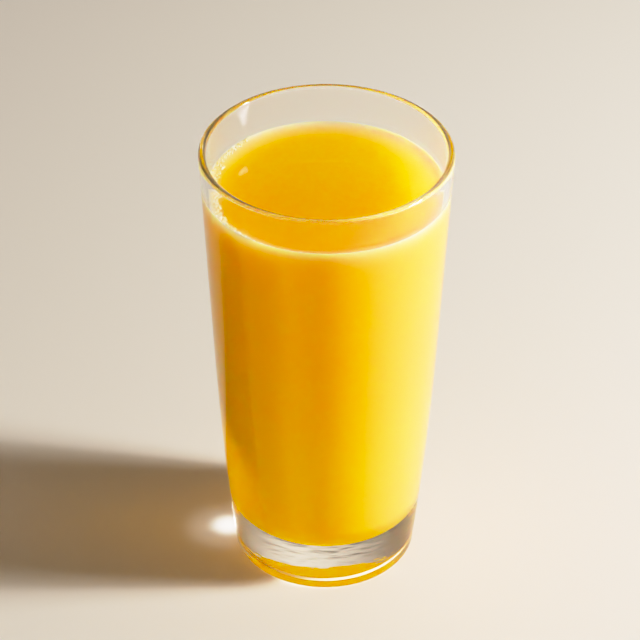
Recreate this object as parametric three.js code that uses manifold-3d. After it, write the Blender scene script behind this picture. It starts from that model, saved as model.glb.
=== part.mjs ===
// A tall straight-sided tumbler with a heavy clear base, filled with orange juice.
// Millimetres, +Z up. The origin is the centre of the ring that the glass stands on.
import * as THREE from 'three';
import { mergeVertices } from 'three/addons/utils/BufferGeometryUtils.js';
import Module from 'manifold-3d';

// Driving dimensions of the glass
const HEIGHT = 148;            // foot to lip
const TOP_RADIUS = 38;         // outside, where the cone of the wall meets the lip
const FOOT_RADIUS = 31.1;      // outside, of the same cone carried down to the table
const WALL = 2.2;              // thickness of the side, as wide as the rounded lip
const LIP_RADIUS = WALL / 2;
const TUCK = 2.2;              // how far the side turns in below the cone at the foot
const TUCK_HEIGHT = 72.5;      // where that inward curve begins
const HEEL_RADIUS = 1.2;       // outer bottom edge

// Driving dimensions of the base
const FLOOR = 16;              // thickness of clear glass under the drink
const FLOOR_CORNER = 9;        // rounding between the inside floor and the side
const STANDING_RING_INNER = 21.3;
const RECESS_STEP_WIDTH = 1.2;
const RECESS_DEPTH = 1.0;
const RECESS_CROWN = 0.2;      // extra depth of the recess at its centre

// Driving dimensions of the juice
const JUICE_LEVEL = 134.0;     // flat middle of the surface
const MENISCUS_RISE = 1.8;     // climb of the surface at the glass
const MENISCUS_LENGTH = 2.2;   // distance over which the climb falls to 1/e
const MENISCUS_SPAN = 12;      // beyond this distance from the glass the surface is flat
const CLEARANCE = 0.3;         // gap between the two solids

// Driving dimensions of the froth, a crescent of bubbles against the left of the glass
const FROTH_COUNT = 34;
const FROTH_FROM = 138;        // degrees round from +X
const FROTH_TO = 226;
const BUBBLE_SMALLEST = 0.42;
const BUBBLE_LARGEST = 0.8;
const FROTH_WIDTH = 2.0;       // of the crescent at its middle
const BUBBLE_SINK = 0.35;      // share of a bubble's radius that lies under the surface
const BUBBLE_SEGMENTS = 7;
const BUBBLE_RINGS = 4;
const FROTH_SEED = 29;

// Facets
const TURNS = 64;              // segments round the axis
const SIDE_STEPS = 5;
const TUCK_STEPS = 6;
const CORNER_STEPS = 6;
const HEEL_STEPS = 4;
const LIP_STEPS = 6;
const MENISCUS_STEPS = 7;

const degrees = (angle) => THREE.MathUtils.degToRad(angle);
const mix = THREE.MathUtils.lerp;

/** Outside radius of the glass at height z: a cone that turns in a little below TUCK_HEIGHT. */
function outerRadius(z) {
  const tucked = Math.max(0, 1 - z / TUCK_HEIGHT);
  return mix(FOOT_RADIUS, TOP_RADIUS, z / HEIGHT) - TUCK * tucked ** 2;
}

/** Inside radius of the glass at height z, above the rounded corner of the floor. */
function innerRadius(z) {
  return outerRadius(z) - WALL;
}

/** Points of an arc round (x, y), both ends included. Angles are in degrees. */
function arc(x, y, radius, from, to, steps) {
  return Array.from({ length: steps + 1 }, (_, i) => {
    const angle = degrees(mix(from, to, i / steps));
    return new THREE.Vector2(x + radius * Math.cos(angle), y + radius * Math.sin(angle));
  });
}

/** Heights from a to b, finer in the curved stretch below TUCK_HEIGHT. */
function sideHeights(a, b) {
  const low = Array.from({ length: TUCK_STEPS }, (_, i) => mix(a, TUCK_HEIGHT, i / TUCK_STEPS));
  const high = Array.from({ length: SIDE_STEPS + 1 }, (_, i) => mix(TUCK_HEIGHT, b, i / SIDE_STEPS));
  return [...low, ...high];
}

/** Revolves a profile of (radius, height) points round +Z, first and last point on the axis. */
function revolve(profile) {
  const geometry = new THREE.LatheGeometry(profile, TURNS);
  geometry.rotateX(Math.PI / 2);
  return geometry;
}

/** Half section of the glass, from the recess under the base, up the outside and down the inside. */
function glassProfile() {
  const recessRadius = STANDING_RING_INNER - RECESS_STEP_WIDTH;
  const heelCentre = outerRadius(HEEL_RADIUS) - HEEL_RADIUS;
  const lipHeight = HEIGHT - LIP_RADIUS;
  const cornerHeight = FLOOR + FLOOR_CORNER;
  const outside = sideHeights(HEEL_RADIUS, lipHeight).slice(1);
  const inside = sideHeights(cornerHeight, lipHeight).slice(1, -1).reverse();
  return [
    new THREE.Vector2(0, RECESS_DEPTH + RECESS_CROWN),
    new THREE.Vector2(recessRadius / 2, RECESS_DEPTH + RECESS_CROWN * 0.75),
    new THREE.Vector2(recessRadius, RECESS_DEPTH),
    new THREE.Vector2(STANDING_RING_INNER, 0),
    ...arc(heelCentre, HEEL_RADIUS, HEEL_RADIUS, -90, 0, HEEL_STEPS),
    ...outside.map((z) => new THREE.Vector2(outerRadius(z), z)),
    ...arc(outerRadius(lipHeight) - LIP_RADIUS, lipHeight, LIP_RADIUS, 0, 180, LIP_STEPS).slice(1),
    ...inside.map((z) => new THREE.Vector2(innerRadius(z), z)),
    ...arc(innerRadius(cornerHeight) - FLOOR_CORNER, cornerHeight, FLOOR_CORNER, 0, -90, CORNER_STEPS),
    new THREE.Vector2(0, FLOOR),
  ];
}

/** Height of the juice's surface at a distance from the inside of the glass. */
function surfaceHeight(distance) {
  return JUICE_LEVEL + MENISCUS_RISE * Math.exp(-distance / MENISCUS_LENGTH);
}

/** Half section of the juice, from its bottom up to the level shown, with its meniscus. */
function juiceProfile() {
  const cornerHeight = FLOOR + FLOOR_CORNER;
  const cornerCentre = innerRadius(cornerHeight) - FLOOR_CORNER;
  const contact = surfaceHeight(CLEARANCE);
  const edge = innerRadius(contact) - CLEARANCE;
  const side = sideHeights(cornerHeight, contact).slice(1, -1);
  const meniscus = Array.from({ length: MENISCUS_STEPS + 1 }, (_, i) => {
    const distance = CLEARANCE + MENISCUS_SPAN * (i / MENISCUS_STEPS) ** 2;
    return new THREE.Vector2(edge + CLEARANCE - distance, surfaceHeight(distance));
  });
  return [
    new THREE.Vector2(0, FLOOR + CLEARANCE),
    ...arc(cornerCentre, cornerHeight, FLOOR_CORNER - CLEARANCE, -90, 0, CORNER_STEPS),
    ...side.map((z) => new THREE.Vector2(innerRadius(z) - CLEARANCE, z)),
    ...meniscus,
    new THREE.Vector2(0, JUICE_LEVEL),
  ];
}

/** A repeatable stream of numbers from 0 to 1. */
function seededDraw(seed) {
  let state = seed;
  return () => {
    state = (state * 1664525 + 1013904223) % 4294967296;
    return state / 4294967296;
  };
}

/** Round bubbles half sunk in the surface, thickest at the middle of the crescent. */
function frothBubbles() {
  const draw = seededDraw(FROTH_SEED);
  return Array.from({ length: FROTH_COUNT }, (_, i) => {
    const along = (i + draw()) / FROTH_COUNT;
    const angle = degrees(mix(FROTH_FROM, FROTH_TO, along));
    const radius = mix(BUBBLE_SMALLEST, BUBBLE_LARGEST, draw() ** 2);
    const width = FROTH_WIDTH * Math.sin(Math.PI * along);
    const distance = CLEARANCE * 1.5 + radius + width * draw();
    const reach = innerRadius(JUICE_LEVEL) - distance;
    const bubble = new THREE.SphereGeometry(radius, BUBBLE_SEGMENTS, BUBBLE_RINGS);
    bubble.rotateX(Math.PI / 2);
    bubble.translate(
      reach * Math.cos(angle),
      reach * Math.sin(angle),
      surfaceHeight(distance) - BUBBLE_SINK * radius,
    );
    return bubble;
  });
}

const wasm = await Module();
wasm.setup();

/** Turns a closed three.js geometry into a solid that can be joined. */
function toSolid(geometry) {
  const bare = geometry.clone();
  bare.deleteAttribute('normal');
  bare.deleteAttribute('uv');
  const merged = mergeVertices(bare, 1e-4);
  const kept = [];
  const index = merged.index.array;
  for (let i = 0; i < index.length; i += 3) {
    const [a, b, c] = [index[i], index[i + 1], index[i + 2]];
    if (a !== b && b !== c && a !== c) {
      kept.push(a, b, c);
    }
  }
  return new wasm.Manifold(new wasm.Mesh({
    numProp: 3,
    vertProperties: new Float32Array(merged.attributes.position.array),
    triVerts: new Uint32Array(kept),
  }));
}

/** Turns a joined solid back into a three.js geometry. */
function toGeometry(solid) {
  const mesh = solid.getMesh();
  const geometry = new THREE.BufferGeometry();
  geometry.setAttribute('position', new THREE.BufferAttribute(mesh.vertProperties, 3));
  geometry.setIndex(new THREE.BufferAttribute(mesh.triVerts, 1));
  geometry.computeVertexNormals();
  return geometry;
}

function makeGlass() {
  const material = new THREE.MeshStandardMaterial({
    color: 0xe6dfd2,
    roughness: 0.03,
    metalness: 0,
    transparent: true,
    opacity: 0.35,
  });
  const mesh = new THREE.Mesh(revolve(glassProfile()), material);
  mesh.name = 'glass';
  return mesh;
}

function makeJuice() {
  const material = new THREE.MeshStandardMaterial({
    color: 0xf2ae0c,
    roughness: 0.22,
    metalness: 0,
  });
  const body = frothBubbles().reduce(
    (joined, bubble) => joined.add(toSolid(bubble)),
    toSolid(revolve(juiceProfile())),
  );
  const mesh = new THREE.Mesh(toGeometry(body), material);
  mesh.name = 'orange_juice';
  return mesh;
}

const drink = new THREE.Group();
drink.add(makeGlass(), makeJuice());

export default drink;
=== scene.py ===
"""A tall tumbler with a heavy clear base, filled with orange juice.

Sizes are written in millimetres and become metres when a mesh is made. Where one is in metres, its
class says so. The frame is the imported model's: +Z up, with the origin at the centre of the ring
that the glass stands on.
"""

import logging
import math
from collections.abc import Sequence
from dataclasses import dataclass, field
from enum import Enum
from typing import Any

import bpy
from mathutils import Euler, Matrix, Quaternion, Vector


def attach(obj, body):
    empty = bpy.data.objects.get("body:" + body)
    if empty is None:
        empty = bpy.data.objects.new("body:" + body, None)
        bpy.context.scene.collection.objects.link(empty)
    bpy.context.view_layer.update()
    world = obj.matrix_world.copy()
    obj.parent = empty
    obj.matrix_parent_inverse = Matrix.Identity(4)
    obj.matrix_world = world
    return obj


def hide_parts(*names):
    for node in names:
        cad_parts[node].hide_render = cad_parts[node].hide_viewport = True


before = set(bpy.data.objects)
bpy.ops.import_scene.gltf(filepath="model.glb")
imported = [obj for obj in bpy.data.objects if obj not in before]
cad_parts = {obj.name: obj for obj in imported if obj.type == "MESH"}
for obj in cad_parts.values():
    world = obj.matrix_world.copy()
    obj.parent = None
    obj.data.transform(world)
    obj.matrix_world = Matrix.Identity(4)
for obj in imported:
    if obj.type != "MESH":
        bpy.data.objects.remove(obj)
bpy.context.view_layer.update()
MM = 0.001
log = logging.getLogger("drink")

Colour = tuple[float, float, float]
Profile = list[tuple[float, float]]


class Sock:
    """An output of a node, so that maths on it is written as a Python expression."""

    def __init__(self, graph: "Graph", socket: bpy.types.NodeSocket) -> None:
        """Keeps the output and the graph that it belongs to."""
        self.graph = graph
        self.socket = socket

    def __add__(self, other: "Sock | float") -> "Sock":
        """This plus other."""
        return self.graph.maths("ADD", self, other)

    def __radd__(self, other: float) -> "Sock":
        """A number plus this."""
        return self.graph.maths("ADD", other, self)

    def __sub__(self, other: "Sock | float") -> "Sock":
        """This less other."""
        return self.graph.maths("SUBTRACT", self, other)

    def __rsub__(self, other: float) -> "Sock":
        """A number less this."""
        return self.graph.maths("SUBTRACT", other, self)

    def __mul__(self, other: "Sock | float") -> "Sock":
        """This times other."""
        return self.graph.maths("MULTIPLY", self, other)

    def __rmul__(self, other: float) -> "Sock":
        """A number times this."""
        return self.graph.maths("MULTIPLY", other, self)

    def __truediv__(self, other: "Sock | float") -> "Sock":
        """This over other."""
        return self.graph.maths("DIVIDE", self, other)

    def __rtruediv__(self, other: float) -> "Sock":
        """A number over this."""
        return self.graph.maths("DIVIDE", other, self)

    def __neg__(self) -> "Sock":
        """This with its sign turned."""
        return self.graph.maths("MULTIPLY", self, -1.0)

    def __pow__(self, power: float) -> "Sock":
        """This to a power."""
        return self.graph.maths("POWER", self, power)

    def __lt__(self, other: "Sock | float") -> "Sock":
        """One where this is less than other."""
        return self.graph.maths("LESS_THAN", self, other)

    def __gt__(self, other: "Sock | float") -> "Sock":
        """One where this is more than other."""
        return self.graph.maths("GREATER_THAN", self, other)


class Graph:
    """Adds nodes to one node tree."""

    def __init__(self, tree: bpy.types.NodeTree) -> None:
        """Starts with an empty tree.

        Args:
            tree: The tree that the nodes go into. What it held is deleted.
        """
        self.tree = tree
        self.tree.nodes.clear()
        compositing = tree.bl_idname == "CompositorNodeTree"
        self.maths_kind = "CompositorNodeMath" if compositing else "ShaderNodeMath"

    def node(
        self,
        kind: str,
        settings: dict[str, Any] | None = None,
        inputs: dict[str | int, Any] | None = None,
    ) -> bpy.types.Node:
        """Adds a node.

        Args:
            kind: The node's type.
            settings: Its properties, set before its inputs.
            inputs: What goes into its sockets, by name or number: a value or a Sock.

        Returns:
            The node.
        """
        made = self.tree.nodes.new(kind)
        for name, value in (settings or {}).items():
            setattr(made, name, value)
        for key, value in (inputs or {}).items():
            if isinstance(value, Sock):
                self.tree.links.new(value.socket, made.inputs[key])
            else:
                made.inputs[key].default_value = value
        return made

    def sock(
        self,
        kind: str,
        settings: dict[str, Any] | None = None,
        inputs: dict[str | int, Any] | None = None,
        output: str | int = 0,
    ) -> Sock:
        """Adds a node and gives one of its outputs.

        Args:
            kind: The node's type.
            settings: Its properties, set before its inputs.
            inputs: What goes into its sockets, by name or number: a value or a Sock.
            output: The output's name or number.

        Returns:
            The output.
        """
        return Sock(self, self.node(kind, settings, inputs).outputs[output])

    def maths(self, operation: str, *values: Sock | float) -> Sock:
        """Adds a Math node for an operation on one, two or three values."""
        return self.sock(self.maths_kind, {"operation": operation}, dict(enumerate(values)))

    def vector(self, x: Sock | float, y: Sock | float, z: Sock | float) -> Sock:
        """Joins three numbers into a vector."""
        return self.sock("ShaderNodeCombineXYZ", inputs={0: x, 1: y, 2: z})

    def parts(self, vector: Sock) -> tuple[Sock, Sock, Sock]:
        """The three numbers of a vector."""
        node = self.node("ShaderNodeSeparateXYZ", inputs={0: vector})
        return tuple(Sock(self, node.outputs[axis]) for axis in ("X", "Y", "Z"))

    def place(self) -> Sock:
        """Where a point lies on its piece, in the piece's own metres."""
        return self.sock("ShaderNodeTexCoord", output="Object")

    def noise(self, size: float, detail: float) -> Sock:
        """Soft random values over a piece.

        Args:
            size: How large the patches are, in millimetres.
            detail: How much finer variation lies in them.

        Returns:
            The values, about 0.5 on average.
        """
        inputs = {"Vector": self.place(), "Scale": 1 / (size * MM), "Detail": detail}
        return self.sock("ShaderNodeTexNoise", inputs=inputs)

    def scaled(self, colour: Colour, share: Sock) -> Sock:
        """A colour times a share."""
        return self.sock("ShaderNodeVectorMath", {"operation": "SCALE"}, {0: colour, 3: share})

    def total(self, colours: Sequence[Sock]) -> Sock:
        """The sum of some colours."""
        so_far = colours[0]
        for colour in colours[1:]:
            so_far = self.sock("ShaderNodeVectorMath", {"operation": "ADD"}, {0: so_far, 1: colour})
        return so_far

    def blend(self, share: Sock, first: "Colour | Sock", second: "Colour | Sock") -> Sock:
        """Mixes two colours.

        Args:
            share: How much of the second colour there is.
            first: The colour at 0.
            second: The colour at 1.

        Returns:
            The mixed colour.
        """
        inputs = {0: share, 6: opaque(first), 7: opaque(second)}
        return self.sock("ShaderNodeMix", {"data_type": "RGBA"}, inputs, 2)


def opaque(colour: "Colour | Sock") -> "Sequence[float] | Sock":
    """A colour with its alpha of 1, or a link as it is."""
    return colour if isinstance(colour, Sock) else (*colour, 1.0)


class Rule:
    """A Geometry Nodes tree with named inputs that is run once and leaves a plain mesh."""

    def __init__(self, name: str) -> None:
        """Starts the tree with its geometry input and output and the input for the material."""
        tree = bpy.data.node_groups.new(name, "GeometryNodeTree")
        self.graph = Graph(tree)
        self.tree = tree
        tree.interface.new_socket("Geometry", in_out="INPUT", socket_type="NodeSocketGeometry")
        tree.interface.new_socket("Geometry", in_out="OUTPUT", socket_type="NodeSocketGeometry")
        self.start = self.graph.node("NodeGroupInput")
        self.material = self.number("Material", "NodeSocketMaterial")

    def number(self, name: str, kind: str = "NodeSocketFloat") -> Sock:
        """Declares a named input, a number where no other kind is given, and gives its value."""
        self.tree.interface.new_socket(name, in_out="INPUT", socket_type=kind)
        return Sock(self.graph, self.start.outputs[name])

    def end(self, shape: Sock) -> None:
        """Closes the tree: smooth faces, copies made real and the material set.

        Args:
            shape: The geometry that the rule has made.
        """
        graph = self.graph
        real = graph.sock("GeometryNodeRealizeInstances", inputs={"Geometry": shape})
        smooth = graph.sock("GeometryNodeSetShadeSmooth", inputs={"Geometry": real})
        dressed = graph.sock(
            "GeometryNodeSetMaterial", inputs={"Geometry": smooth, "Material": self.material}
        )
        graph.node("NodeGroupOutput", inputs={"Geometry": dressed})

    def run(self, name: str, points: Profile, values: dict[str, Any]) -> bpy.types.Object:
        """Makes a piece by the rule.

        Args:
            name: The piece's name.
            points: A half section in millimetres, or nothing where the rule needs none.
            values: The named inputs.

        Returns:
            The piece, a plain mesh whose faces point out.
        """
        start = bpy.data.meshes.new(name)
        start.from_pydata([(r * MM, 0.0, z * MM) for r, z in points], [], [])
        piece = bpy.data.objects.new(name, start)
        bpy.context.scene.collection.objects.link(piece)
        modifier = piece.modifiers.new(name, "NODES")
        modifier.node_group = self.tree
        for item in self.tree.interface.items_tree:
            if item.name in values:
                modifier[item.identifier] = values[item.name]
        finished = piece.evaluated_get(bpy.context.evaluated_depsgraph_get())
        mesh = bpy.data.meshes.new_from_object(finished)
        piece.modifiers.remove(modifier)
        for index in reversed(range(len(mesh.materials))):
            if mesh.materials[index] is None:
                mesh.materials.pop(index=index)
        piece.data = mesh
        if signed_volume(mesh) < 0:
            mesh.flip_normals()
        return piece


def signed_volume(mesh: bpy.types.Mesh) -> float:
    """Volume inside a closed mesh, less than 0 where its faces point in."""
    mesh.calc_loop_triangles()
    corners = [vertex.co for vertex in mesh.vertices]
    total = 0.0
    for triangle in mesh.loop_triangles:
        a, b, c = (corners[i] for i in triangle.vertices)
        total += a.dot(b.cross(c))
    return total / 6


class Revolve(Rule):
    """Turns a half section round +Z, with an optional uneven relief on low, flat faces.

    Attributes:
        RELIEF_EDGE: Share of the relief's radius over which it dies out.
        RELIEF_DETAIL: How much finer variation lies in the relief.
        WELD: Points nearer to each other than this become one, in metres.
    """

    RELIEF_EDGE = 0.12
    RELIEF_DETAIL = 1.0
    WELD = 1e-6

    def __init__(self) -> None:
        """Builds the tree."""
        super().__init__("revolve")
        graph = self.graph
        turns = self.number("Turns", "NodeSocketInt")
        relief_depth = self.number("Relief depth")
        relief_size = self.number("Relief size")
        relief_radius = self.number("Relief radius")
        relief_height = self.number("Relief height")
        section = Sock(graph, self.start.outputs["Geometry"])
        count = graph.sock(
            "GeometryNodeAttributeDomainSize", {"component": "MESH"}, {"Geometry": section}
        )
        sheet = graph.sock(
            "GeometryNodeMeshGrid",
            inputs={"Size X": 1.0, "Size Y": 1.0, "Vertices X": turns + 1, "Vertices Y": count},
        )
        # Read twice: here on the flat sheet, and below on the shape that it has become
        place = graph.sock("GeometryNodeInputPosition")
        x, y, z = graph.parts(place)
        share = x + 0.5
        row = graph.maths("ROUND", (y + 0.5) * (count - 1.0))
        point = graph.sock(
            "GeometryNodeSampleIndex",
            {"data_type": "FLOAT_VECTOR", "domain": "POINT"},
            {"Geometry": section, "Value": place, "Index": row},
        )
        radius, _, height = graph.parts(point)
        angle = share * math.tau
        turned = graph.vector(
            radius * graph.maths("COSINE", angle), radius * graph.maths("SINE", angle), height
        )
        shape = graph.sock(
            "GeometryNodeSetPosition", inputs={"Geometry": sheet, "Position": turned}
        )
        noise = graph.sock(
            "ShaderNodeTexNoise",
            inputs={"Scale": 1.0 / relief_size, "Detail": self.RELIEF_DETAIL},
        )
        from_axis = graph.maths("SQRT", x * x + y * y)
        edge_width = relief_radius * self.RELIEF_EDGE
        edge = graph.maths("MINIMUM", (relief_radius - from_axis) / edge_width, 1.0)
        inside = graph.maths("MAXIMUM", edge, 0.0) * (z < relief_height)
        lift = graph.vector(0.0, 0.0, (noise - 0.5) * relief_depth * inside)
        uneven = graph.sock("GeometryNodeSetPosition", inputs={"Geometry": shape, "Offset": lift})
        closed = graph.sock(
            "GeometryNodeMergeByDistance", inputs={"Geometry": uneven, "Distance": self.WELD}
        )
        self.end(closed)


class Bubbles(Rule):
    """Round bubbles that lie along the glass, sunk a little into the meniscus of a liquid.

    Attributes:
        SMALL_BIAS: Above 1, more of the bubbles are small.
        EDGE_BIAS: Above 1, more of them lie close to the glass.
        SEED_STEP: How far apart the seeds of the draws are.
        ROUNDNESS: How often the faces of a bubble are divided.
    """

    SMALL_BIAS = 3.0
    EDGE_BIAS = 1.5
    SEED_STEP = 17
    ROUNDNESS = 2

    def __init__(self) -> None:
        """Builds the tree."""
        super().__init__("bubbles")
        graph = self.graph
        count = self.number("Count", "NodeSocketInt")
        seed = self.number("Seed", "NodeSocketInt")
        first = self.number("From angle")
        last = self.number("To angle")
        wall = self.number("Wall radius")
        gap = self.number("Gap")
        width = self.number("Width")
        smallest = self.number("Smallest")
        largest = self.number("Largest")
        level = self.number("Level")
        rise = self.number("Rise")
        length = self.number("Length")
        sink = self.number("Sink")
        along = self.draw(seed, 0)
        angle = first + (last - first) * along
        taper = graph.maths("SINE", along * math.pi)
        size = smallest + (largest - smallest) * self.draw(seed, 1) ** self.SMALL_BIAS
        inward = gap + size + width * taper * self.draw(seed, 2) ** self.EDGE_BIAS
        reach = wall - inward
        height = level + rise * graph.maths("EXPONENT", -inward / length) - sink * size
        place = graph.vector(
            reach * graph.maths("COSINE", angle), reach * graph.maths("SINE", angle), height
        )
        points = graph.sock("GeometryNodePoints", inputs={"Count": count, "Position": place})
        bubble = graph.sock(
            "GeometryNodeMeshIcoSphere", inputs={"Radius": 1.0, "Subdivisions": self.ROUNDNESS}
        )
        crowd = graph.sock(
            "GeometryNodeInstanceOnPoints",
            inputs={"Points": points, "Instance": bubble, "Scale": graph.vector(size, size, size)},
        )
        self.end(crowd)

    def draw(self, seed: Sock, step: int) -> Sock:
        """A random number from 0 to 1 for each bubble, different for each step."""
        own_seed = seed + float(step * self.SEED_STEP)
        return self.graph.sock(
            "FunctionNodeRandomValue", {"data_type": "FLOAT"}, {"Seed": own_seed}, 1
        )


class Face(Enum):
    """Which side of the juice a finish is for."""

    AGAINST_GLASS = "juice_against_glass"
    OPEN_TO_AIR = "juice_surface"


@dataclass(frozen=True)
class GlassFinish:
    """Clear polished glass, with the faint waviness of a pressed wall."""

    colour: Colour = (1.0, 1.0, 1.0)
    ior: float = 1.5
    roughness: float = 0.0
    shadow: Colour = (0.95, 0.94, 0.93)
    wave_size: float = 14.0
    wave_detail: float = 0.0
    wave_depth: float = 0.012

    def material(self) -> bpy.types.Material:
        """Makes the material. Lamps shine straight through it, so that what it holds is lit."""
        made, graph, out = new_material("clear_glass")
        wave = graph.noise(self.wave_size, self.wave_detail)
        normal = graph.sock(
            "ShaderNodeBump",
            inputs={"Strength": 1.0, "Distance": self.wave_depth * MM, "Height": wave},
        )
        glass = graph.sock(
            "ShaderNodeBsdfPrincipled",
            inputs={
                "Base Color": opaque(self.colour),
                "Roughness": self.roughness,
                "IOR": self.ior,
                "Transmission Weight": 1.0,
                "Normal": normal,
            },
        )
        clear = graph.sock("ShaderNodeBsdfTransparent", inputs={"Color": opaque(self.shadow)})
        lamp_ray = graph.sock("ShaderNodeLightPath", output="Is Shadow Ray")
        join_shaders(graph, out, lamp_ray, glass, clear)
        return made


@dataclass(frozen=True)
class JuiceFinish:
    """Cloudy orange juice: fine pulp all through, paler where it thins out against the glass.

    That pale edge is partly painted light: a sheen behind on the surface and a glow down the side.
    Its colours also change with place: deeper towards the front as painted shade, yellower in a
    belt low down, paler to the right as painted light from the lamp. They are fitted under one
    light, and the belt isn't known to be the juice's own.
    """

    # The liquid, its pulp, and the paler colours where it thins out at the glass, with a painted
    # sheen on the surface behind and a painted glow down the side
    surface_body: Colour = (0.985, 0.415, 0.004)
    side_body: Colour = (0.985, 0.435, 0.004)
    pulp: Colour = (1.0, 0.485, 0.008)
    surface_thin_and_sheen: Colour = (0.82, 0.63, 0.46)
    side_thin_and_glow: Colour = (0.97, 0.75, 0.42)
    # What one crossing of its skin leaves of a lamp's light
    shadow: Colour = (0.22, 0.16, 0.06)
    # The patches of pulp, and how much they vary the thin colour
    pulp_size: float = 1.6
    pulp_detail: float = 3.0
    unevenness: float = 0.2
    # Its gloss
    surface_roughness: float = 0.02
    side_roughness: float = 0.5
    surface_gloss: float = 0.5
    ior: float = 1.34
    # How far the thin colour reaches: in from the glass, in front and behind, and down the side;
    # the wider reach behind is painted sheen, the reach down the side painted glow
    front_fade: float = 0.7
    back_fade: float = 2.3
    side_fade: float = 2.2
    # How deep light scatters, and the shares of that depth for red, green and blue
    surface_depth: float = 4.0
    side_depth: float = 9.0
    glow: Colour = (1.0, 0.45, 0.08)
    # Painted shade: the surface's deeper orange towards the front, from this far behind the axis
    # and over this length
    deep: Colour = (0.985, 0.25, 0.002)
    deep_from: float = 15.6
    deep_over: float = 87.0
    # The yellower belt round the side, low down
    belt: Colour = (0.985, 0.70, 0.01)
    belt_share: float = 0.27
    belt_height: float = 42.0
    belt_spread: float = 32.0
    # Painted light: the paler right of the side, lit by the lamp, from this far right of the axis
    # and over this width
    lit_edge: Colour = (0.97, 0.46, 0.42)
    lit_share: float = 0.35
    lit_from: float = 5.0
    lit_over: float = 31.0
    lit_low: float = 1.2
    # The dull side where it is met at a slant, above a height only: partly mirrored, partly a
    # dull colour painted in as reflection
    slant_ior: float = 0.893
    slant_from: float = 26.0
    slant_painted_reflection: Colour = (0.22, 0.185, 0.125)
    slant_mirror: Colour = (1.0, 1.0, 1.0)
    mirrored_share: float = 0.75

    def thin_and_lit_share(self, graph: Graph, face: Face, juice: "Juice") -> Sock:
        """How thinned out the juice is, with painted sheen and glow, from 1 at the glass to 0.

        Args:
            graph: Where the nodes go.
            face: The side of the juice.
            juice: The juice that is painted, for its sizes.

        Returns:
            The share of the thin colour.
        """
        x, y, z = graph.parts(graph.place())
        if face is Face.AGAINST_GLASS:
            below = juice.contact_height * MM - z
            return graph.maths("EXPONENT", -below / (self.side_fade * MM))
        radius = graph.maths("SQRT", x**2.0 + y**2.0)
        inward = graph.maths("MAXIMUM", juice.contact_radius * MM - radius, 0.0)
        toward_back = 0.5 + y / radius * 0.5
        fade = (self.front_fade + toward_back * (self.back_fade - self.front_fade)) * MM
        return graph.maths("EXPONENT", -inward / fade)

    def material(self, face: Face, juice: "Juice") -> bpy.types.Material:
        """Makes the material of one side of the juice.

        Args:
            face: The side. Only the one open to the air has a gloss of its own.
            juice: The juice that is painted, for its sizes.

        Returns:
            The material.
        """
        made, graph, out = new_material(face.value)
        cloud = graph.noise(self.pulp_size, self.pulp_detail)
        wet = face is Face.OPEN_TO_AIR
        pulpy = graph.blend(cloud, self.surface_body if wet else self.side_body, self.pulp)
        if wet:
            flesh = self.painted_front_shade(graph, pulpy)
        else:
            flesh = self.painted_lit_right(graph, self.yellowed(graph, pulpy), juice)
        patchy = (1 - self.unevenness / 2) + cloud * self.unevenness
        share = self.thin_and_lit_share(graph, face, juice) * patchy
        # Paler where it thins, with a painted sheen on the surface and a painted glow on the side
        thin = self.surface_thin_and_sheen if wet else self.side_thin_and_glow
        colour = graph.blend(share, flesh, thin)
        juice_shader = graph.sock(
            "ShaderNodeBsdfPrincipled",
            {"subsurface_method": "RANDOM_WALK"},
            {
                "Base Color": colour,
                "Roughness": self.surface_roughness if wet else self.side_roughness,
                "IOR": self.ior,
                "Specular IOR Level": self.surface_gloss if wet else 0.0,
                "Subsurface Weight": 1.0,
                "Subsurface Radius": self.glow,
                "Subsurface Scale": (self.surface_depth if wet else self.side_depth) * MM,
            },
        )
        if not wet:
            juice_shader = self.under_glass(graph, juice_shader)
        through = graph.sock("ShaderNodeBsdfTransparent", inputs={"Color": opaque(self.shadow)})
        lamp_ray = graph.sock("ShaderNodeLightPath", output="Is Shadow Ray")
        join_shaders(graph, out, lamp_ray, juice_shader, through)
        return made

    def painted_front_shade(self, graph: Graph, flesh: Sock) -> Sock:
        """Paints shade on the surface: a deeper orange towards the front."""
        _, y, _ = graph.parts(graph.place())
        share = (self.deep_from * MM - y) / (self.deep_over * MM)
        return graph.blend(graph.maths("MAXIMUM", share, 0.0), flesh, self.deep)

    def yellowed(self, graph: Graph, flesh: Sock) -> Sock:
        """Makes the side yellower in a wide belt above the floor of the glass."""
        _, _, z = graph.parts(graph.place())
        off = (z - self.belt_height * MM) / (self.belt_spread * MM)
        share = graph.maths("EXPONENT", -(off * off)) * self.belt_share
        return graph.blend(share, flesh, self.belt)

    def painted_lit_right(self, graph: Graph, flesh: Sock, juice: "Juice") -> Sock:
        """Paints the lamp's light on the side: paler towards the right edge, most of all low down.
        """
        x, _, z = graph.parts(graph.place())
        aside = graph.maths("MAXIMUM", x - self.lit_from * MM, 0.0) / (self.lit_over * MM)
        low = self.lit_low - z / (juice.level * MM)
        return graph.blend(aside * aside * low * self.lit_share, flesh, self.lit_edge)

    def under_glass(self, graph: Graph, flesh: Sock) -> Sock:
        """Dulls the juice where it is met at a slant from inside the wall, as it is below a rim.

        The share that is mirrored there and the dull colour painted in for the rest of the
        reflection are fitted values.

        Args:
            graph: Where the nodes go.
            flesh: The shader of the juice itself.

        Returns:
            The juice with the turned light laid over it.
        """
        _, _, z = graph.parts(graph.place())
        slant = graph.sock("ShaderNodeFresnel", inputs={"IOR": self.slant_ior})
        share = slant * (z > self.slant_from * MM)
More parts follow.
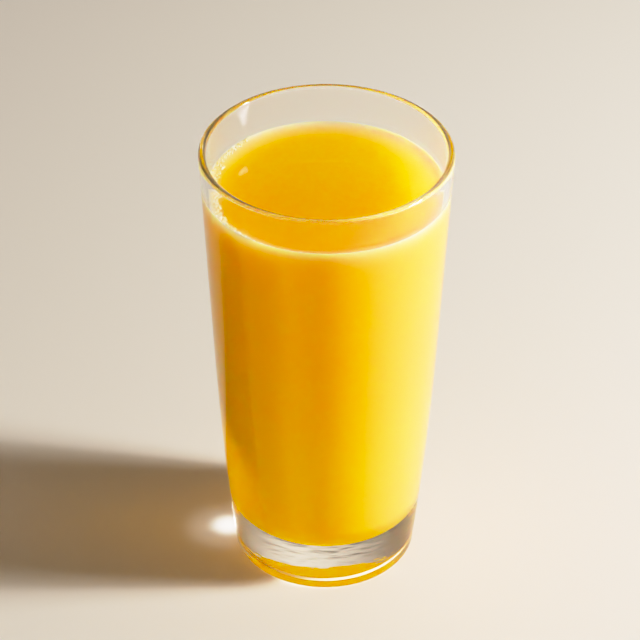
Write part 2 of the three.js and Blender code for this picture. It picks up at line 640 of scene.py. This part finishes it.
        # Painted reflection: a dull diffuse colour in place of part of the mirrored light
        painted_reflection = graph.sock(
            "ShaderNodeBsdfDiffuse", inputs={"Color": opaque(self.slant_painted_reflection)}
        )
        mirrored = graph.sock(
            "ShaderNodeBsdfGlossy", inputs={"Color": opaque(self.slant_mirror), "Roughness": 0.0}
        )
        turned = graph.sock(
            "ShaderNodeMixShader", inputs={0: self.mirrored_share, 1: painted_reflection, 2: mirrored}
        )
        return graph.sock("ShaderNodeMixShader", inputs={0: share, 1: flesh, 2: turned})


@dataclass(frozen=True)
class FrothFinish:
    """Fine bubbles: pale films with the juice showing between and through them."""

    film: Colour = (0.95, 0.80, 0.56)
    gap: Colour = (0.90, 0.48, 0.05)
    # The cells, and how sharply the films stand out from the gaps
    cell_size: float = 0.5
    cell_detail: float = 1.0
    contrast: float = 3.0
    cut: float = 0.9
    softness: float = 0.1
    # Its gloss, and how light scatters in it
    roughness: float = 0.08
    ior: float = 1.34
    depth: float = 0.6
    scatter: float = 0.6
    glow: Colour = (1.0, 0.7, 0.4)

    def material(self) -> bpy.types.Material:
        """Makes the material."""
        made, graph, out = new_material("froth")
        cells = graph.noise(self.cell_size, self.cell_detail)
        films = graph.maths("MAXIMUM", cells * self.contrast - self.cut, 0.0)
        share = graph.maths("SMOOTH_MIN", films, 1.0, self.softness)
        film = graph.sock(
            "ShaderNodeBsdfPrincipled",
            {"subsurface_method": "RANDOM_WALK"},
            {
                "Base Color": graph.blend(share, self.gap, self.film),
                "Roughness": self.roughness,
                "IOR": self.ior,
                "Subsurface Weight": self.scatter,
                "Subsurface Radius": self.glow,
                "Subsurface Scale": self.depth * MM,
            },
        )
        graph.tree.links.new(film.socket, out.inputs["Surface"])
        return made


@dataclass(frozen=True)
class FloorFinish:
    """A plain pale matt surface."""

    colour: Colour = (0.80, 0.755, 0.705)
    roughness: float = 0.8
    gloss: float = 0.2

    def material(self) -> bpy.types.Material:
        """Makes the material."""
        made, graph, out = new_material("pale_floor")
        shader = graph.sock(
            "ShaderNodeBsdfPrincipled",
            inputs={
                "Base Color": opaque(self.colour),
                "Roughness": self.roughness,
                "Specular IOR Level": self.gloss,
            },
        )
        graph.tree.links.new(shader.socket, out.inputs["Surface"])
        return made


def new_material(name: str) -> tuple[bpy.types.Material, Graph, bpy.types.Node]:
    """Starts a material.

    Args:
        name: The material's name.

    Returns:
        The material, the graph of its nodes and its output node.
    """
    made = bpy.data.materials.new(name)
    made.use_nodes = True
    graph = Graph(made.node_tree)
    return made, graph, graph.node("ShaderNodeOutputMaterial")


def join_shaders(graph: Graph, out: bpy.types.Node, share: Sock, first: Sock, second: Sock) -> None:
    """Mixes two shaders by a share of the second and makes the mix the surface."""
    mixed = graph.sock("ShaderNodeMixShader", inputs={0: share, 1: first, 2: second})
    graph.tree.links.new(mixed.socket, out.inputs["Surface"])


def arc(
    radius_at: float, height_at: float, radius: float, first: float, last: float, steps: int
) -> Profile:
    """Points of an arc in a half section.

    Args:
        radius_at: The centre's distance from the axis.
        height_at: The centre's height.
        radius: The arc's own radius.
        first: The angle that it starts at, in degrees.
        last: The angle that it ends at.
        steps: How many pieces it has.

    Returns:
        The points, both ends included.
    """
    angles = [math.radians(first + (last - first) * i / steps) for i in range(steps + 1)]
    return [(radius_at + radius * math.cos(a), height_at + radius * math.sin(a)) for a in angles]


def between(first: float, last: float, steps: int) -> list[float]:
    """Evenly spaced values from first to last, without first."""
    return [first + (last - first) * i / steps for i in range(1, steps + 1)]


@dataclass
class Tumbler:
    """The drinking glass: a rounded lip, a heavy clear base and a shallow recess under it."""

    height: float = 148.0
    top_radius: float = 38.0
    foot_radius: float = 31.1
    wall: float = 2.2
    # How far the side turns in at the foot, and the height from which it does
    tuck: float = 2.2
    tuck_height: float = 72.5
    heel_radius: float = 1.2
    # The inside floor and its rounded corner
    floor: float = 16.0
    floor_corner: float = 9.0
    # The ring that it stands on, and the step and the dome of the recess inside the ring
    ring_inner: float = 21.3
    step_width: float = 1.2
    recess_depth: float = 1.0
    recess_crown: float = 0.2
    # The unevenness of the recess, and how far above the dome it may reach
    relief_depth: float = 0.13
    relief_size: float = 3.4
    relief_margin: float = 0.5
    # How finely it is divided
    turns: int = 224
    recess_steps: int = 30
    step_steps: int = 10
    ring_steps: int = 5
    heel_steps: int = 10
    side_steps: int = 56
    lip_steps: int = 20
    corner_steps: int = 18
    floor_steps: int = 8
    finish: GlassFinish = field(default_factory=GlassFinish)

    def outer_radius(self, z: float) -> float:
        """Outside radius at a height: a cone that turns in a little near the foot."""
        cone = self.foot_radius + (self.top_radius - self.foot_radius) * z / self.height
        return cone - self.tuck * max(0.0, 1 - z / self.tuck_height) ** 2

    def inner_radius(self, z: float) -> float:
        """Inside radius at a height above the rounded corner of the floor."""
        return self.outer_radius(z) - self.wall

    def profile(self) -> Profile:
        """Half section from the recess under the base, up the outside and down the inside."""
        recess = self.ring_inner - self.step_width
        heel = self.outer_radius(self.heel_radius) - self.heel_radius
        lip = self.wall / 2
        lip_height = self.height - lip
        corner = self.floor + self.floor_corner
        corner_centre = self.inner_radius(corner) - self.floor_corner
        points = [(0.0, self.recess_depth + self.recess_crown)]
        for share in between(0, 1, self.recess_steps):
            rise = self.recess_crown * (1 - share**2)
            points.append((recess * share, self.recess_depth + rise))
        for share in between(0, 1, self.step_steps):
            slope = 0.5 + 0.5 * math.cos(math.pi * share)
            points.append((recess + self.step_width * share, self.recess_depth * slope))
        points += [(r, 0.0) for r in between(self.ring_inner, heel, self.ring_steps)]
        points += arc(heel, self.heel_radius, self.heel_radius, -90, 0, self.heel_steps)[1:]
        outside = between(self.heel_radius, lip_height, self.side_steps)
        points += [(self.outer_radius(z), z) for z in outside]
        lip_centre = self.outer_radius(lip_height) - lip
        points += arc(lip_centre, lip_height, lip, 0, 180, self.lip_steps)[1:]
        points += [(self.inner_radius(z), z) for z in between(lip_height, corner, self.side_steps)]
        points += arc(corner_centre, corner, self.floor_corner, 0, -90, self.corner_steps)[1:]
        points += [(r, self.floor) for r in between(corner_centre, 0.0, self.floor_steps)]
        return points

    def build(self, rule: Revolve) -> bpy.types.Object:
        """Makes the glass.

        Args:
            rule: The tree that turns a half section.

        Returns:
            The piece, riding on the root body in place of the CAD node.
        """
        piece = rule.run(
            "tumbler",
            self.profile(),
            {
                "Turns": self.turns,
                "Relief depth": self.relief_depth * MM,
                "Relief size": self.relief_size * MM,
                "Relief radius": (self.ring_inner - self.step_width) * MM,
                "Relief height": (self.recess_depth + self.recess_crown + self.relief_margin) * MM,
                "Material": self.finish.material(),
            },
        )
        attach(piece, "root")
        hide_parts("glass")
        return piece


@dataclass
class Juice:
    """The orange juice, up to its level, with the meniscus that climbs the glass."""

    tumbler: Tumbler
    # The level of the middle, and how the meniscus rises, dies out and ends
    level: float = 134.0
    rise: float = 1.8
    length: float = 2.2
    span: float = 12.0
    # How far the side reaches into the wall of the glass, and the height of its top row of faces
    into_wall: float = 0.06
    top_edge: float = 0.1
    # Faces that look up by more than this, and lie less than this below the level, are open to air
    surface_slope: float = 0.3
    surface_margin: float = 1.0
    # How finely it is divided
    turns: int = 192
    bottom_steps: int = 8
    side_steps: int = 50
    meniscus_steps: int = 30
    flat_steps: int = 12
    finish: JuiceFinish = field(default_factory=JuiceFinish)

    @property
    def contact_height(self) -> float:
        """Height at which the surface meets the glass."""
        return self.level + self.rise

    @property
    def contact_radius(self) -> float:
        """Radius at which the surface meets the glass."""
        return self.tumbler.inner_radius(self.contact_height)

    def surface_height(self, inward: float) -> float:
        """Height of the surface at a distance from the glass."""
        return self.level + self.rise * math.exp(-inward / self.length)

    def profile(self) -> Profile:
        """Half section from the middle of the bottom, up the side and in along the surface."""
        tumbler = self.tumbler
        corner = tumbler.floor + tumbler.floor_corner
        centre = tumbler.inner_radius(corner) - tumbler.floor_corner
        bottom = tumbler.floor - self.into_wall
        points = [(0.0, bottom)]
        points += [(r, bottom) for r in between(0.0, centre, self.bottom_steps)]
        rounding = tumbler.floor_corner + self.into_wall
        points += arc(centre, corner, rounding, -90, 0, tumbler.corner_steps)[1:]
        side = between(corner, self.contact_height - self.top_edge, self.side_steps)
        side.append(self.contact_height)
        points += [(tumbler.inner_radius(z) + self.into_wall, z) for z in side]
        points.append((self.contact_radius, self.contact_height))
        for share in between(0, 1, self.meniscus_steps):
            inward = self.span * share**2
            points.append((self.contact_radius - inward, self.surface_height(inward)))
        flat = self.contact_radius - self.span
        points += [(r, self.level) for r in between(flat, 0.0, self.flat_steps)]
        return points

    def build(self, rule: Revolve) -> bpy.types.Object:
        """Makes the juice, which reaches just into the wall of the glass.

        Args:
            rule: The tree that turns a half section.

        Returns:
            The piece, riding on the root body in place of the CAD node.
        """
        side = self.finish.material(Face.AGAINST_GLASS, self)
        # It has no relief, whose size only has to be more than 0
        piece = rule.run(
            "juice",
            self.profile(),
            {"Turns": self.turns, "Relief depth": 0.0, "Relief size": 1.0, "Material": side},
        )
        # The second material, number 1, is for the faces that are open to the air
        piece.data.materials.append(self.finish.material(Face.OPEN_TO_AIR, self))
        lowest = (self.level - self.surface_margin) * MM
        for polygon in piece.data.polygons:
            if polygon.normal.z > self.surface_slope and polygon.center.z > lowest:
                polygon.material_index = 1
        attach(piece, "root")
        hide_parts("orange_juice")
        return piece


@dataclass(frozen=True)
class Crowd:
    """The bubbles of one stretch of froth.

    Attributes:
        name: The piece's name.
        count: How many bubbles there are.
        first: Where round the glass they start, in degrees from +X.
        last: Where they end.
        width: How far they reach in from the glass at the middle of the stretch.
        smallest: Radius of the smallest bubble.
        largest: Radius of the largest bubble.
        seed: The seed of the random draws.
        gap: Space between the glass and the bubble nearest to it. Less than 0, they overlap.
        sink: Share of its radius by which the middle of a bubble lies below the surface.
    """

    name: str
    count: int
    first: float
    last: float
    width: float
    smallest: float
    largest: float
    seed: int
    gap: float = -0.05
    sink: float = 0.2


@dataclass
class Froth:
    """Bubbles on the juice: a crescent against the left of the glass and a thin string in front."""

    juice: Juice
    crescent: Crowd = Crowd(
        name="froth_crescent",
        count=620,
        first=134,
        last=232,
        width=2.6,
        smallest=0.12,
        largest=0.62,
        seed=5,
    )
    string: Crowd = Crowd(
        name="froth_string",
        count=90,
        first=214,
        last=262,
        width=0.5,
        smallest=0.08,
        largest=0.3,
        seed=11,
    )
    finish: FrothFinish = field(default_factory=FrothFinish)

    def build(self, rule: Bubbles) -> list[bpy.types.Object]:
        """Makes the crescent and the string.

        Args:
            rule: The tree that lays bubbles along the glass.

        Returns:
            The pieces, riding on the root body.
        """
        dress = self.finish.material()
        return [self.lay(rule, crowd, dress) for crowd in (self.crescent, self.string)]

    def lay(self, rule: Bubbles, crowd: Crowd, dress: bpy.types.Material) -> bpy.types.Object:
        """Makes one crowd of bubbles.

        Args:
            rule: The tree that lays bubbles along the glass.
            crowd: The bubbles.
            dress: Their material.

        Returns:
            The piece.
        """
        juice = self.juice
        values = {
            "Count": crowd.count,
            "Seed": crowd.seed,
            "From angle": math.radians(crowd.first),
            "To angle": math.radians(crowd.last),
            "Wall radius": juice.contact_radius * MM,
            "Gap": crowd.gap * MM,
            "Width": crowd.width * MM,
            "Smallest": crowd.smallest * MM,
            "Largest": crowd.largest * MM,
            "Level": juice.level * MM,
            "Rise": juice.rise * MM,
            "Length": juice.length * MM,
            "Sink": crowd.sink,
            "Material": dress,
        }
        piece = rule.run(crowd.name, [], values)
        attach(piece, "root")
        return piece


def stand(light: bpy.types.Light, aim: Vector, way: Vector, distance: float) -> bpy.types.Object:
    """Puts a light into the scene and turns it towards what it shines on.

    Args:
        light: The light.
        aim: What it shines on, in metres.
        way: The direction from there to the light, of length 1.
        distance: How far away it stands, in metres.

    Returns:
        The light's object.
    """
    lamp = bpy.data.objects.new(light.name, light)
    lamp.location = aim + way * distance
    lamp.rotation_euler = way.to_track_quat("Z", "Y").to_euler()
    bpy.context.scene.collection.objects.link(lamp)
    return lamp


@dataclass(frozen=True)
class Lamp:
    """A round lamp that shines on the drink. Its distance, size and aim are in metres."""

    name: str
    azimuth: float
    elevation: float
    distance: float
    size: float
    power: float
    colour: Colour
    aim: tuple[float, float, float] = (0.0, 0.0, 0.07)

    def build(self) -> bpy.types.Object:
        """Makes the lamp, turned towards what it shines on."""
        light = bpy.data.lights.new(self.name, "AREA")
        light.shape = "DISK"
        light.size = self.size
        light.energy = self.power
        light.color = self.colour
        turn, lift = math.radians(self.azimuth), math.radians(self.elevation)
        level = math.cos(lift)
        way = Vector((math.cos(turn) * level, math.sin(turn) * level, math.sin(lift)))
        return stand(light, Vector(self.aim), way, self.distance)


@dataclass(frozen=True)
class Gleam:
    """A spot of light in place of what the real base throws to the side away from the lamp.

    It doesn't follow from the shape of the glass: where it falls and how strong it is are fitted.

    Attributes:
        place: Where it falls.
        cone: How wide it opens, in degrees.
        power: Its strength.
        distance: How far away its lamp stands, in metres.
        lean: How high the lamp stands above the level, in degrees.
        lamp_size: Radius of the lamp.
        colour: Its colour.
    """

    place: tuple[float, float, float]
    cone: float
    power: float
    distance: float = 0.30
    lean: float = 55.0
    lamp_size: float = 2.0
    colour: Colour = (0.90, 0.97, 1.0)

    def build(self) -> bpy.types.Object:
        """Makes the spot, on the left and aimed at its place."""
        light = bpy.data.lights.new("gleam", "SPOT")
        light.energy = self.power
        light.color = self.colour
        light.spot_size = math.radians(self.cone)
        light.spot_blend = 1.0
        light.shadow_soft_size = self.lamp_size * MM
        lean = math.radians(self.lean)
        way = Vector((-math.cos(lean), 0.0, math.sin(lean)))
        return stand(light, Vector(self.place) * MM, way, self.distance)


@dataclass(frozen=True)
class Glow:
    """A broad pale patch in the surroundings.

    Attributes:
        azimuth: Where its middle lies, in degrees from +X.
        height: How high its middle lies, from 0 at the level to 1 overhead.
        spread: How far it reaches up and down, in the same measure.
        width: How far it reaches to the sides.
        colour: Its light at the middle.
    """

    azimuth: float
    height: float
    spread: float
    width: float
    colour: Colour

    def light(self, graph: Graph, way: tuple[Sock, Sock, Sock]) -> Sock:
        """Its light from a direction.

        Args:
            graph: Where the nodes go.
            way: The direction's three parts.

        Returns:
            The light as a colour.
        """
        x, y, z = way
        turn = math.radians(self.azimuth)
        reach = math.sqrt(1 - self.height**2)
        aside = 1.0 - x * (math.cos(turn) / reach) - y * (math.sin(turn) / reach)
        off = (z - self.height) / self.spread
        share = graph.maths("EXPONENT", -(off * off) - aside / self.width**2)
        return graph.scaled(self.colour, share)


@dataclass(frozen=True)
class Surround:
    """The soft light from all round: strong and low in front, weaker and higher elsewhere."""

    glows: tuple[Glow, ...] = (
        Glow(azimuth=-95, height=0.0, spread=0.17, width=1.2, colour=(5.2, 4.6, 3.9)),
        Glow(azimuth=0, height=0.40, spread=0.22, width=1.0, colour=(0.70, 0.64, 0.55)),
        Glow(azimuth=78, height=0.70, spread=0.08, width=0.55, colour=(0.95, 0.82, 0.68)),
    )

    def build(self) -> None:
        """Sets the scene's world."""
        world = bpy.data.worlds.new("surround")
        bpy.context.scene.world = world
        world.use_nodes = True
        graph = Graph(world.node_tree)
        way = graph.parts(graph.sock("ShaderNodeTexCoord", output="Generated"))
        light = graph.total([glow.light(graph, way) for glow in self.glows])
        background = graph.sock("ShaderNodeBackground", inputs={"Color": light})
        graph.node("ShaderNodeOutputWorld", inputs={"Surface": background})


@dataclass
class Camera:
    """The camera, looking down on the drink as the photograph does."""

    tilt: float = 36.48
    distance: float = 804.0
    side: float = -1.73
    aim_height: float = 85.5
    roll: float = 0.24
    focal_pixels: float = 2600.0
    picture: float = 640.0
    sensor: float = 36.0

    def build(self) -> bpy.types.Object:
        """Makes the camera and looks through it."""
        data = bpy.data.cameras.new("view")
        data.sensor_width = self.sensor
        data.lens = self.focal_pixels * self.sensor / self.picture
        tilt = math.radians(self.tilt)
        camera = bpy.data.objects.new("view", data)
        back, up = math.cos(tilt) * self.distance, math.sin(tilt) * self.distance
        camera.location = Vector((self.side, -back, self.aim_height + up)) * MM
        level = Euler((math.pi / 2 - tilt, 0, 0)).to_quaternion()
        camera.rotation_mode = "QUATERNION"
        camera.rotation_quaternion = level @ Quaternion((0, 0, 1), math.radians(self.roll))
        bpy.context.scene.collection.objects.link(camera)
        bpy.context.scene.camera = camera
        return camera


@dataclass
class FilmResponse:
    """How a camera answers to light: a short toe, a soft shoulder, deep oranges without blue.

    Red above full white spills a little into blue. All the values are fitted.
    """

    toe: float = 0.035
    knee: float = 0.55
    blue_loss: float = 0.06
    spill_blue: float = 0.08

    def build(self) -> None:
        """Sets the scene's compositing."""
        scene = bpy.context.scene
        scene.use_nodes = True
        graph = Graph(scene.node_tree)
        picture = graph.sock("CompositorNodeRLayers")
        channels = graph.node("CompositorNodeSeparateColor", {"mode": "RGB"}, {0: picture})
        red, green, blue = (Sock(graph, channels.outputs[i]) - self.toe for i in range(3))
        over = graph.maths("MAXIMUM", red - 1.0, 0.0)
        within = graph.maths("MINIMUM", red, 1.0)
        blue = blue - (within - blue) * self.blue_loss + over * self.spill_blue
        shown = {i: self.shoulder(graph, value) for i, value in enumerate((red, green, blue))}
        joined = graph.sock("CompositorNodeCombineColor", {"mode": "RGB"}, shown)
        graph.node("CompositorNodeComposite", inputs={"Image": joined})

    def shoulder(self, graph: Graph, value: Sock) -> Sock:
        """Bends a channel above the knee so that it nears 1 slowly."""
        room = 1 - self.knee
        above = graph.maths("MAXIMUM", value - self.knee, 0.0)
        bent = (1.0 - graph.maths("EXPONENT", -above / room)) * room
        return graph.maths("MAXIMUM", graph.maths("MINIMUM", value, self.knee), 0.0) + bent


@dataclass
class Studio:
    """A plain pale floor, a warm lamp on the right, three gleams and soft light from all round.

    Attributes:
        floor_half: Half the width of the floor, in metres.
        air_film: Space between the floor and the glass.
        bounces: How often light may change its way in all.
        inner_bounces: How often it may do so by passing through glass or by being mirrored.
        key: The lamp.
        core: A smaller and brighter patch just in front of it.
        gleams: The spots in place of light from the base. The last falls on the side of the juice.
        surround: The soft light.
        camera: The camera.
        response: The picture's tones.
        finish: The surface of the floor.
    """

    floor_half: float = 3.0
    air_film: float = 0.1
    bounces: int = 32
    inner_bounces: int = 24
    key: Lamp = Lamp(
        name="key",
        azimuth=-4,
        elevation=36,
        distance=1.0,
        size=0.20,
        power=11.2,
        colour=(1.0, 0.96, 0.91),
    )
    core: Lamp = Lamp(
        name="core",
        azimuth=-4,
        elevation=36,
        distance=0.99,
        size=0.04,
        power=3.8,
        colour=(1.0, 0.96, 0.91),
    )
    gleams: tuple[Gleam, ...] = (
        Gleam(place=(-31.5, 2.0, 0.0), cone=2.2, power=6.1),
        Gleam(place=(-33.0, 1.0, 0.0), cone=5.0, power=0.9),
        Gleam(
            place=(-28.0, -4.0, 34.0), cone=9.0, power=1.5, lean=20.0, colour=(1.0, 0.88, 0.78)
        ),
    )
    surround: Surround = field(default_factory=Surround)
    camera: Camera = field(default_factory=Camera)
    response: FilmResponse = field(default_factory=FilmResponse)
    finish: FloorFinish = field(default_factory=FloorFinish)

    def build(self) -> None:
        """Makes the floor, the lights, the camera and the picture's tones."""
        self.floor()
        self.key.build()
        self.core.build()
        for gleam in self.gleams:
            gleam.build()
        self.surround.build()
        self.camera.build()
        self.response.build()
        scene = bpy.context.scene
        scene.view_settings.view_transform = "Standard"
        scene.cycles.use_denoising = True
        scene.cycles.max_bounces = self.bounces
        scene.cycles.transmission_bounces = self.inner_bounces
        scene.cycles.glossy_bounces = self.inner_bounces
        # No limit on bright indirect light, which would take out the glints
        scene.cycles.sample_clamp_indirect = 0.0

    def floor(self) -> bpy.types.Object:
        """Makes the floor, a film of air below the foot of the glass."""
        half, z = self.floor_half, -self.air_film * MM
        mesh = bpy.data.meshes.new("floor")
        corners = [(-half, -half, z), (half, -half, z), (half, half, z), (-half, half, z)]
        mesh.from_pydata(corners, [], [(0, 1, 2, 3)])
        mesh.materials.append(self.finish.material())
        floor = bpy.data.objects.new("floor", mesh)
        bpy.context.scene.collection.objects.link(floor)
        return floor


def main() -> None:
    """Builds the drink and the studio, and reports each piece."""
    logging.basicConfig(level=logging.INFO, format="%(message)s")
    revolve = Revolve()
    tumbler = Tumbler()
    juice = Juice(tumbler)
    pieces = [tumbler.build(revolve), juice.build(revolve), *Froth(juice).build(Bubbles())]
    for piece in pieces:
        log.info("%s: %d faces", piece.name, len(piece.data.polygons))
    Studio().build()


if __name__ == "__main__":
    main()
